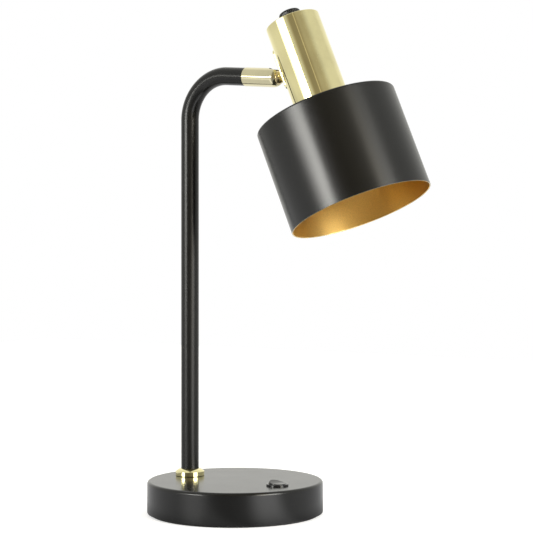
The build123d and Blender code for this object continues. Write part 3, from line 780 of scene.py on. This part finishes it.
@dataclass
class JointUnit:
    """Slotted barrel on the end of the arm, and the ball with its neck."""

    barrel_radius: float = 8.35
    barrel_back: float = -33.6
    barrel_front: float = 1.0
    nose_length: float = 4.6
    mouth_outer: float = 6.7
    chamber: float = 6.15
    seat: float = 6.05
    counterbore: float = 7.25
    counterbore_depth: float = 9.0
    slot_back: float = -9.0
    slot_width: float = 8.0
    back_edge: float = 0.6
    bore_edge: float = 0.15
    ball_radius: float = 6.0
    neck_radius: float = 3.5
    neck_root: float = 0.7
    stud_end: float = 16.6
    lead_bore: float = 2.3

    def sections(self, places: np.ndarray) -> tuple:
        """Shape of the slotted part of the barrel.

        The outside is a cylinder, then an arc tangent to it. The inside is the chamber, then
        the ball's seat. The slot has a round end, then straight sides.

        Args:
            places: Places along the axis.

        Returns:
            The outer radius, the inner radius and half the slot's width at each place.
        """
        drop = self.barrel_radius - self.mouth_outer
        bend = (self.nose_length**2 + drop**2) / (2 * drop)
        ahead = np.clip(places - self.barrel_front + self.nose_length, 0, None)
        outer = self.barrel_radius - bend + np.sqrt(bend**2 - ahead**2)
        seat = np.sqrt(np.clip(self.seat**2 - places**2, 0, None))
        inner = np.where(places <= 0, self.chamber, seat)
        half = self.slot_width / 2
        along = np.clip(places - self.slot_back, 0, half)
        return outer, inner, np.sqrt(half**2 - (half - along) ** 2)

    def barrel(self) -> Piece:
        """Sleeve with a slot on top.

        P(s, t) = O + R cos(a) A + R sin(a) B + s C with a = g + t (2 pi - 2 g), where
        sin(g) = w(s)/R for the slot's half width w, so that its two sides are flat.

        Returns:
            The piece.
        """
        half = self.slot_width / 2
        round_end = self.slot_back + half * (1 - np.cos(np.linspace(0, pi / 2, 14)))
        straight = np.linspace(self.slot_back + half, self.barrel_front, 22)[1:]
        slotted = np.concatenate([round_end, straight])
        outer, inner, slot = self.sections(slotted)
        back = self.barrel_back
        step = back + self.counterbore_depth
        corners = [
            (self.chamber, self.slot_back, 0), (self.chamber, step, 0), (self.counterbore, step, 0),
            (self.counterbore, back, self.bore_edge), (self.barrel_radius, back, self.back_edge),
            (self.barrel_radius, self.slot_back, 0),
        ]
        rear = rounded(corners, 6)
        front = np.stack([np.concatenate([outer, inner[::-1]]), np.concatenate([slotted, slotted[::-1]])], 1)
        profile = np.concatenate([front, rear[1:-1]])
        width = np.concatenate([slot, slot[::-1], np.zeros(len(rear) - 2)])
        start = np.arcsin(np.clip(width / profile[:, 0], 0, 1))[:, None]
        share = np.linspace(0, 1, 121)
        turn = start + share * (FULL_TURN - 2 * start)
        skin = polar(profile[:, :1], turn, profile[:, 1:])
        # Rows inside the bore, and the slot's sides below, take the dark brass that paints the shade in them.
        in_shaded_bore = np.zeros(len(profile))
        in_shaded_bore[len(slotted):2 * len(slotted) + 1] = 1
        surface = Surface.grid(AXES.arm.place(skin), wrap_rows=True, wrap_columns=False, row_finish=in_shaded_bore)
        for across in (-slot, slot):
            side = [np.stack([np.sqrt(r**2 - across**2), across, slotted], 1) for r in (outer, inner)]
            surface += Surface.grid(AXES.arm.place(np.stack(side)), wrap_columns=False, row_finish=np.ones(1))
        # Both brasses here are painted shade: the barrel's is darker than the pale brass, and its bore and
        # slot sides darker still.
        finishes = [BARREL_SHADED_BRASS, BORE_SHADE_BRASS]
        return Piece(["socket_barrel"], surface, finishes, Body.BARREL, "gold_brass")

    def ball_stud(self) -> Piece:
        """Ball, a filleted root, and the neck, bored along its axis.

        Returns:
            The piece.
        """
        start = np.arcsin(self.lead_bore / self.ball_radius)
        sizes = self.ball_radius, self.neck_radius, self.neck_root
        front = ball_and_neck(*sizes, start=start, steps=(48, 8))
        tail = np.array([(self.neck_radius, self.stud_end), (self.lead_bore, self.stud_end)])
        surface = turned(np.concatenate([front, tail]), AXES.stud, 96, closed=True)
        return Piece(["ball_stud"], surface, [BALL_BRASS], Body.HEAD, "gold_brass")

    def pieces(self) -> tuple:
        """The pieces of the joint."""
        return self.barrel(), self.ball_stud()


@dataclass
class HeadUnit:
    """Brass cylinder with its face plate, screws and cap nut."""

    radius: float = 24.0
    wall: float = 0.8
    top: float = 38.2
    foot: float = -48.2
    edge: float = 0.7
    foot_edge: float = 0.1
    rod_hole: float = 5.1
    plate_width: float = 12.0
    plate_length: float = 38.5
    plate_thickness: float = 2.0
    plate_corner: float = 4.5
    plate_rise: float = 4.2
    plate_front: float = 8.75
    plate_edge: float = 0.4
    plate_guard: float = 0.52
    screw_spacing: float = 28.8
    screw_radius: float = 2.7
    screw_height: float = 1.5
    screw_fullness: float = 0.75
    screw_slot: float = 0.8
    slot_depth: float = 0.7
    slot_side: float = 0.2
    finial_radius: float = 9.6
    finial_height: float = 9.6
    finial_edge: float = 2.4
    finial_foot: float = 0.3
    finial_flutes: int = 44
    flute_depth: float = 0.22
    flute_reach: tuple = (0.08, 0.8)
    flute_fade: float = 0.1

    def cylinder(self) -> Piece:
        """Deep cup, closed at the top round the rod.

        Returns:
            The piece.
        """
        inner, ceiling = self.radius - self.wall, self.top - self.wall
        corners = [
            (self.radius, self.foot, self.foot_edge), (self.radius, self.top, self.edge),
            (self.rod_hole, self.top, 0), (self.rod_hole, ceiling, 0), (inner, ceiling, 0),
            (inner, self.foot, 0),
        ]
        surface = turned(rounded(corners, 8), AXES.head, 192, closed=True)
        return Piece(["head_cylinder"], surface, [PALE_BRASS], Body.HEAD, "gold_brass")

    def plate(self) -> Piece:
        """Flat plate with round corners and eased edges.

        P(i, t) = O + Q(t) - c(i) N(t) + h(i) C, where Q is the outline, N its outward normal,
        c how far it is set in and h the height. Along a quarter turn a of the lower edge,
        c = e (1 - sin a) at e (1 - cos a) above the back, and the upper edge mirrors it.

        Returns:
            The piece.
        """
        w, h, r = self.plate_length / 2, self.plate_width / 2, self.plate_corner
        outline = rounded([(w, -h, r), (w, h, r), (-w, h, r), (-w, -h, r)], 10)
        tangent = np.roll(outline, -1, axis=0) - np.roll(outline, 1, axis=0)
        tangent /= np.linalg.norm(tangent, axis=1, keepdims=True)
        normal = np.stack([tangent[:, 1], -tangent[:, 0]], axis=1)
        front, back = self.plate_front, self.plate_front - self.plate_thickness
        turn, guard = np.linspace(0, pi / 2, 5), [self.plate_guard]
        sine, cosine = self.plate_edge * (1 - np.sin(turn)), self.plate_edge * (1 - np.cos(turn))
        inset = np.concatenate([guard, sine, cosine, guard])
        level = np.concatenate([[back, back], back + cosine, front - sine, [front, front]])
        middle = np.broadcast_to(outline.mean(axis=0), (1, *outline.shape))
        rings = np.concatenate([middle, outline - inset[:, None, None] * normal, middle])
        heights = np.broadcast_to(level[:, None, None], (*rings.shape[:2], 1))
        points = np.concatenate([rings, heights], axis=-1)
        surface = Surface.grid(AXES.stud.moved(self.plate_rise).place(points))
        return Piece(["head_plate"], surface, [PALE_BRASS], Body.HEAD, "gold_brass")

    def screws(self) -> Piece:
        """Two round heads: h = H sqrt(1 - q (r/R)^2), less the slot where |y| is small.

        Returns:
            The piece.
        """
        rings = np.concatenate([[0.0], np.linspace(0.08, 1.0, 26)])[:, None]
        turn = circle(96)
        dome = self.screw_height * np.sqrt(1 - self.screw_fullness * rings**2)
        beside = np.abs(self.screw_radius * rings * np.sin(turn)) - self.screw_slot / 2
        slot = self.slot_depth * np.clip(0.5 - beside / self.slot_side, 0, 1)
        head = polar(self.screw_radius * rings, turn, slot - dome)
        foot = polar(np.array([[self.screw_radius], [0.0]]), turn, np.zeros((2, 1)))
        points = np.concatenate([head, foot])
        back, reach = self.plate_front - self.plate_thickness, self.screw_spacing / 2
        places = [AXES.stud.moved(self.plate_rise + side, 0.0, back) for side in (-reach, reach)]
        surface = Surface.grid(places[0].place(points)) + Surface.grid(places[1].place(points))
        return Piece(["plate_screws"], surface, [SCREW_BRASS], Body.HEAD, "gold_brass", "plate_screw_heads")

    def finial(self) -> Piece:
        """Cap nut with a fine straight knurl round its side.

        Returns:
            The piece.
        """
        radius, height = self.finial_radius, self.finial_height
        lower, upper = (radius, 0, self.finial_foot), (radius, height, self.finial_edge)
        profile = rounded([(0, 0, 0), lower, upper, (0, height, 0)], 9)
        rise = profile[:, 1] / height
        foot, end = self.flute_reach
        depth = self.flute_depth * np.clip(rise / foot, 0, 1) * np.clip((end - rise) / self.flute_fade, 0, 1)
        surface = turned(profile, AXES.head.moved(z=self.top), self.finial_flutes * 6,
                         flutes=self.finial_flutes, flute_depth=depth)
        return Piece(["top_finial"], surface, [FINIAL_BLACK], Body.HEAD, "black_metal")

    def pieces(self) -> tuple:
        """The pieces of the head."""
        return self.cylinder(), self.plate(), self.screws(), self.finial()


@dataclass
class ShadeUnit:
    """Shade with its clamping ring, the lampholder's body and the bulb."""

    radius: float = 62.2
    wall: float = 1.0
    roof: float = -48.2
    rim: float = -139.8
    edge: float = 1.6
    rim_edges: tuple = (0.3, 0.4)
    gold_from: float = 0.7
    bead_from: float = 0.3
    bead_height: float = 0.4
    hole: float = 20.3
    ring_radius: float = 26.5
    ring_bore: float = 19.85
    ring_thickness: float = 5.0
    ring_flutes: int = 24
    ring_flute_depth: float = 1.1
    ring_flute_reach: float = 2.0
    holder_radius: float = 19.8
    holder_bore: float = 16.8
    holder_foot: float = -61.2
    holder_top: float = -26.5
    holder_floor: float = 3.0
    flange_radius: float = 22.0
    flange_height: float = 1.6
    contact_gap: float = 0.6
    bulb_radius: float = 22.5
    bulb_neck: float = 12.0
    bulb_length: float = 52.0
    bulb_inset: float = 2.0
    bulb_root: float = 6.0
    cap_radius: float = 13.0
    cap_length: float = 23.0
    thread_pitch: float = 3.6
    thread_depth: float = 0.9
    thread_fade: tuple = (2.5, 2.0)
    nose_length: float = 4.0
    nose_radii: tuple = (4.8, 4.6)
    nose_edge: float = 1.5

    def shade(self) -> Piece:
        """Spun cup, black outside and gold inside, with a bead of paler gold, a painted highlight, on the
        inner half of its rim.

        Returns:
            The piece.
        """
        inner = self.radius - self.wall
        ceiling = self.roof - self.wall
        outer_edge, inner_edge = self.rim_edges
        corners = [
            (self.hole, self.roof, 0), (self.radius, self.roof, self.edge),
            (self.radius, self.rim, outer_edge), (inner, self.rim, inner_edge),
            (inner, ceiling, self.edge - self.wall), (self.hole, ceiling, 0),
        ]
        profile = rounded(corners, 8)
        across, height = ((profile + np.roll(profile, -1, axis=0)) / 2).T
        inside = (across < self.radius - self.gold_from * self.wall) & (height < self.roof - self.wall / 2)
        # The bead on the rim takes the paler gold that paints the rim's highlight.
        on_highlit_bead = (across < self.radius - self.bead_from * self.wall) & (height < self.rim + self.bead_height)
        finish = np.where(on_highlit_bead, 2, inside)
        surface = turned(profile, AXES.head, 256, closed=True, row_finish=finish)
        finishes = [SHADE_ENAMEL, SHADE_GOLD, RIM_HIGHLIGHT_GOLD]
        return Piece(["shade"], surface, finishes, Body.HEAD, "black_shade")

    def ring(self) -> Piece:
        """Clamping ring with flutes for the fingers.

        Returns:
            The piece.
        """
        top = self.roof - self.wall
        foot = top - self.ring_thickness
        bore, radius, flutes = self.ring_bore, self.ring_radius, self.ring_flutes
        profile = rounded([(bore, foot, 0.3), (radius, foot, 0.8), (radius, top, 0.4), (bore, top, 0)], 5)
        near_side = np.clip((profile[:, 0] - radius) / self.ring_flute_reach + 1, 0, 1)
        depth = self.ring_flute_depth * near_side
        surface = turned(profile, AXES.head, flutes * 8, closed=True, flutes=flutes, flute_depth=depth)
        return Piece(["shade_ring"], surface, [RESIN], Body.HEAD, "phenolic")

    def holder(self) -> Piece:
        """Lampholder's body below and above the roof, open at its mouth.

        Returns:
            The piece.
        """
        bore, radius, flange = self.holder_bore, self.holder_radius, self.flange_radius
        foot, top, upper = self.holder_foot, self.holder_top, self.roof + self.flange_height
        floor = foot + self.cap_length + self.contact_gap
        above = floor + self.holder_floor
        corners = [
            (0, floor, 0), (0, above, 0), (bore, above, 0), (bore, top, 0), (radius, top, 0),
            (radius, upper, 0), (flange, upper, 0), (flange, self.roof, 0), (radius, self.roof, 0),
            (radius, foot, 0.8), (bore, foot, 0.5), (bore, floor, 0),
        ]
        surface = turned(rounded(corners, 5), AXES.head, 96, closed=True)
        return Piece(["lampholder_body"], surface, [RESIN], Body.HEAD, "phenolic", "lampholder_surface")

    def globe(self) -> Piece:
        """Round globe: a circle, a hollow arc and the neck.

        Returns:
            The piece.
        """
        top = self.holder_foot - self.bulb_inset
        centre = top - self.bulb_length + self.bulb_radius
        globe = ball_and_neck(self.bulb_radius, self.bulb_neck, self.bulb_root, centre)
        neck = np.array([(self.bulb_neck, top), (0.0, top)])
        surface = turned(np.concatenate([globe, neck]), AXES.head, 128)
        return Piece(["bulb_globe"], surface, [OPAL], Body.HEAD, "opal_glass")

    def cap(self) -> Piece:
        """Screw cap: r = R - d (1 - cos(2 pi h / p - t)) / 2, a wave that climbs one pitch a turn.

        Returns:
            The piece.
        """
        foot = self.holder_foot - self.bulb_inset
        body_length, top = self.cap_length - self.nose_length, foot + self.cap_length
        height = np.linspace(0, body_length, 96)[:, None]
        turn = circle(96)
        fade_in, fade_out = self.thread_fade
        fade = np.clip(height / fade_in, 0, 1) * np.clip((body_length - height) / fade_out, 0, 1)
        wave = 0.5 * (1 - np.cos(FULL_TURN * height / self.thread_pitch - turn))
        body = polar(self.cap_radius - self.thread_depth * fade * wave, turn, foot + height)
        wide, narrow = self.nose_radii
        ends = np.array([(0, foot), (wide, top - self.nose_edge), (narrow, top), (0, top)])
        rings = polar(ends[:, :1], turn, ends[:, 1:])
        surface = Surface.grid(AXES.head.place(np.concatenate([rings[:1], body, rings[1:]])))
        return Piece(["bulb_cap"], surface, [CAP_METAL], Body.HEAD, "bulb_metal")

    def pieces(self) -> tuple:
        """The shade and what is in it."""
        return self.shade(), self.ring(), self.holder(), self.globe(), self.cap()


@dataclass
class SwitchUnit:
    """Round rocker switch: bezel with a round well, and a round rocker."""

    flange_radius: float = 9.7
    flange_height: float = 1.6
    flange_edge: float = 0.55
    body_radius: float = 8.8
    body_depth: float = 13.0
    body_edge: float = 0.5
    well_radius: float = 7.9
    well_depth: float = 5.4
    well_edge: float = 0.25
    rocker_radius: float = 7.6
    rocker_foot: float = -3.2
    rocker_edge: float = 0.5
    valley_floor: float = 1.5
    valley_rise: float = 0.75
    valley_power: float = 1.7
    rocker_throw: float = 20.0
    pivot_drop: float = 0.6

    def bezel(self) -> Piece:
        """Round flange and body with a round well.

        Returns:
            The piece.
        """
        body, flange, well = self.body_radius, self.flange_radius, self.well_radius
        foot, top = -self.body_depth, self.flange_height
        well_floor = top - self.well_depth
        corners = [
            (0, foot, 0), (body, foot, self.body_edge), (body, 0, 0), (flange, 0, 0),
            (flange, top, self.flange_edge), (well, top, self.well_edge), (well, well_floor, 0),
            (0, well_floor, 0),
        ]
        surface = turned(rounded(corners, 7), AXES.switch, 144)
        return Piece(["switch_housing"], surface, [SWITCH_BLACK], Body.BASE, "black_plastic", "switch_bezel")

    def rocker(self) -> Piece:
        """Round rocker with spherical sides and a shallow valley, tipped to its rest side.

        The side is r = sqrt(R^2 - z^2) about the pivot, so that it clears the round well at
        every tilt. The top is z = f + v |x / R|^p, met by an edge of radius e. The whole is
        turned by half the throw: x' = x cos + z sin, z' = z cos - x sin.

        Returns:
            The piece.
        """
        turn = circle(120)
        side_share = np.linspace(0, 1, 14)[:, None]
        edge_turn = np.linspace(0, pi / 2, 7)[1:, None]
        top_share = np.linspace(1, 0, 16)[1:, None]
        valley = self.valley_floor + self.valley_rise * np.abs(np.cos(turn)) ** self.valley_power
        edge_foot = valley - self.rocker_edge
        side_height = self.rocker_foot + side_share * (edge_foot - self.rocker_foot)
        side_radius = np.sqrt(self.rocker_radius**2 - side_height**2)
        edge_radius = side_radius[-1] - self.rocker_edge * (1 - np.cos(edge_turn))
        edge_height = edge_foot + self.rocker_edge * np.sin(edge_turn)
        top_radius = edge_radius[-1] * top_share
        top_height = self.valley_floor + (valley - self.valley_floor) * top_share**self.valley_power
        none = np.zeros((1, len(turn)))
        radius = np.concatenate([none, side_radius, edge_radius, top_radius])
        height = np.concatenate([none + self.rocker_foot, side_height, edge_height, top_height])
        rest = radians(self.rocker_throw / 2)
        x, y = radius * np.cos(turn), radius * np.sin(turn)
        local = np.stack([x * cos(rest) + height * sin(rest), y, height * cos(rest) - x * sin(rest)], axis=-1)
        axes = AXES.switch.moved(z=self.flange_height - self.pivot_drop)
        surface = Surface.grid(axes.place(local))
        return Piece(["switch_rocker"], surface, [SWITCH_BLACK], Body.ROCKER, "black_plastic", crease=40.0)

    def pieces(self) -> tuple:
        """The pieces of the switch."""
        return self.bezel(), self.rocker()


# Studio


@dataclass
class Studio:
    """Pale floor, soft light all round and the camera."""

    camera_place: tuple = (0.85452, -1.23063, 0.25269)
    view_direction: tuple = (-0.54684, 0.83724, 0.0)
    lens: float = 113.87
    sensor: float = 36.0
    shift: tuple = (-0.03095, -0.07121)
    camera_azimuth: float = 33.15
    floor_size: float = 3.4
    floor_glow: float = 0.6
    floor_grey: float = 0.86
    patch_origin: float = 0.079
    dim_wall: float = 0.275
    right_walls: tuple = ((0.13, -6.0, 14.0), (0.27, 26.0, 72.0), (0.16, 112.0, 140.0))
    left_walls: tuple = ((0.34, 21.0, 38.0), (0.10, 42.0, 80.0), (0.12, 115.0, 145.0))
    back_wall: tuple = (0.17, 140.0, 165.0)
    warm_light: tuple = (1.0, 0.89, 0.67)
    pale_light: tuple = (1.0, 0.995, 0.94)
    left_box_span: tuple = (-75.0, -44.0, 1.5)
    left_patch_span: tuple = (-68.0, -54.0, 12.0)
    right_box_span: tuple = (35.0, 60.0, 5.0)
    right_box_height: tuple = (0.0, 31.5, 3.0)
    right_patch_span: tuple = (30.0, 40.0, 20.0)
    gap_span: tuple = (-3.5, -1.5, 1.0)

    def camera(self) -> None:
        """Camera at the photograph's place."""
        data = bpy.data.cameras.new("camera")
        data.lens = self.lens
        data.sensor_width = self.sensor
        data.clip_end = 50.0
        data.shift_x, data.shift_y = self.shift
        camera = bpy.data.objects.new("camera", data)
        camera.location = self.camera_place
        camera.rotation_euler = Vector(self.view_direction).to_track_quat("-Z", "Y").to_euler()
        bpy.context.scene.collection.objects.link(camera)
        bpy.context.scene.camera = camera

    def around(self, x: Value, y: Value) -> Value:
        """Azimuth in degrees, 0 on the camera's side and growing to its right.

        Args:
            x: Reach along X.
            y: Reach along Y.

        Returns:
            The azimuth.
        """
        turn = radians(self.camera_azimuth)
        right = cos(turn) * x + sin(turn) * y
        near = sin(turn) * x - cos(turn) * y
        return right.math("ARCTAN2", near) * (180 / pi)

    def room(self, azimuth: Value) -> Value:
        """Level of the walls: dim behind the camera, and pale at the sides and at the back."""
        sides = azimuth.climb(*self.right_walls) + (-1 * azimuth).climb(*self.left_walls)
        return self.dim_wall + sides + abs(azimuth).climb(self.back_wall)

    def floor(self) -> None:
        """Pale floor that keeps the lamp's shadow and is white to the camera elsewhere.

        Glossy surfaces see the light that lies on the floor: a weak patch on the left and a
        stronger one on the right.
        """
        half = self.floor_size / 2
        mesh = bpy.data.meshes.new("floor")
        corners = [(-half, -half, 0), (half, -half, 0), (half, half, 0), (-half, half, 0)]
        mesh.from_pydata(corners, [], [(0, 1, 2, 3)])
        floor = bpy.data.objects.new("floor", mesh)
        bpy.context.scene.collection.objects.link(floor)
        material = bpy.data.materials.new("pale_floor")
        tree = Tree(material)
        split = tree.node("ShaderNodeSeparateXYZ", {}, {0: tree.object_coordinates()})
        x, y = Value(tree, split.outputs[0]), Value(tree, split.outputs[1])
        azimuth = self.around(x, y)
        beside = self.around(x - self.patch_origin, y)
        distance = (x * x + y * y).math("SQRT")
        left_patch = 0.45 * beside.window(*self.left_patch_span)
        outwards = 1.0 + distance.climb((0.75, 0.095, 0.19), (1.2, 0.3, 0.8))
        right_patch = outwards * azimuth.window(*self.right_patch_span)
        out_of_shade = 0.55 + 0.45 * distance.rise(0.078, 0.135)
        sheen_level = (self.room(azimuth) + left_patch + right_patch) * out_of_shade
        path = tree.node("ShaderNodeLightPath")
        seen = Value(tree, path.outputs["Is Camera Ray"])
        grey = (self.floor_grey, self.floor_grey, self.floor_grey, 1.0)
        diffuse = tree.node("ShaderNodeBsdfDiffuse", {}, {"Color": grey})
        glow = tree.node("ShaderNodeEmission", {}, {"Color": seen * self.floor_glow})
        plain = tree.node("ShaderNodeAddShader", {}, {0: diffuse.outputs[0], 1: glow.outputs[0]})
        sheen = tree.node("ShaderNodeEmission", {}, {"Color": sheen_level})
        shaders = {0: path.outputs["Is Glossy Ray"], 1: plain.outputs[0], 2: sheen.outputs[0]}
        mixed = tree.node("ShaderNodeMixShader", {}, shaders)
        tree.node("ShaderNodeOutputMaterial", {}, {"Surface": mixed.outputs[0]})
        mesh.materials.append(material)

    def boxes(self, azimuth: Value, elevation: Value) -> Value:
        """Soft boxes on both sides.

        The left one is low and has a bright lower part and a weak upper part. Both top edges
        rise to the right by 0.4 degrees a degree, and the foot falls a little. The right one
        is brightest low down, and a bright patch lies under it.

        Args:
            azimuth: Azimuth in degrees.
            elevation: Elevation in degrees.

        Returns:
            The light.
        """
        over_edge = elevation - 0.4 * (azimuth + 77)
        below_top = 1 - over_edge.climb((0.85, -0.8, 0.6), (0.15, 4.0, 6.0))
        above_foot = (elevation + 0.12 * (azimuth + 50)).rise(-4.5, 5.5)
        left_level = 13.5 + elevation.climb((7.0, 2.0, 7.0))
        left = left_level * azimuth.window(*self.left_box_span) * above_foot * below_top
        right_level = 2.2 + elevation.climb((10.0, 2.0, 8.0), (-5.0, 12.0, 20.0))
        right = right_level * azimuth.window(*self.right_box_span) * elevation.window(*self.right_box_height)
        patch = 2.7 * azimuth.window(*self.right_patch_span) * (1 - elevation.rise(-1.5, 1.0))
        return left + right + patch

    def world(self) -> None:
        """Soft studio light by direction: walls, a box on each side and a narrow high gap.

        The camera sees plain white. The walls are warm where they are dim, and the left is
        dark below the floor.
        """
        world = bpy.data.worlds.new("studio")
        bpy.context.scene.world = world
        tree = Tree(world)
        direction = tree.node("ShaderNodeTexCoord").outputs["Generated"]
        split = tree.node("ShaderNodeSeparateXYZ", {}, {0: direction})
        x, y, z = (Value(tree, output) for output in split.outputs)
        azimuth = self.around(x, y)
        elevation = z.math("ARCSINE") * (180 / pi)
        room = self.room(azimuth)
        low_left = (-1 * azimuth).rise(80.0, 95.0) * (1 - elevation.rise(-9.0, -5.0))
        gap = 0.36 * azimuth.window(*self.gap_span) * elevation.rise(24.0, 28.0)
        light = room * (1 - 0.5 * low_left) + self.boxes(azimuth, elevation) + gap
        path = Value(tree, tree.node("ShaderNodeLightPath").outputs["Is Camera Ray"])
        walls = tree.blend(room.rise(0.3, 0.6), self.warm_light, self.pale_light)
        colour = tree.blend(path, walls, (1.0, 1.0, 1.0))
        strength = path + (1 - path) * light
        background = tree.node("ShaderNodeBackground", {}, {"Color": colour, "Strength": strength})
        tree.node("ShaderNodeOutputWorld", {}, {"Surface": background.outputs[0]})

    def build(self) -> None:
        """Set up the camera, the floor and the light."""
        self.camera()
        self.floor()
        self.world()
        bpy.context.scene.view_settings.view_transform = "Standard"
        LOG.info("studio: camera, floor and light")


def dress_hidden_nodes() -> None:
    """Give every carried-over CAD node its finish."""
    for finish, names in HIDDEN_NODES.items():
        for name in names:
            node = frame["nodes"][name]
            node.data.materials.clear()
            node.data.materials.append(finish.material())
            LOG.info("%s: keeps its shape, finish %s", name, finish.name)


def main() -> None:
    """Build every sub-assembly and the studio."""
    logging.basicConfig(level=logging.INFO, format="%(name)s: %(message)s")
    dress_hidden_nodes()
    for unit in (BaseUnit(), StemUnit(), SwitchUnit(), JointUnit(), HeadUnit(), ShadeUnit()):
        for piece in unit.pieces():
            piece.build()
    Studio().build()


if __name__ == "__main__":
    main()
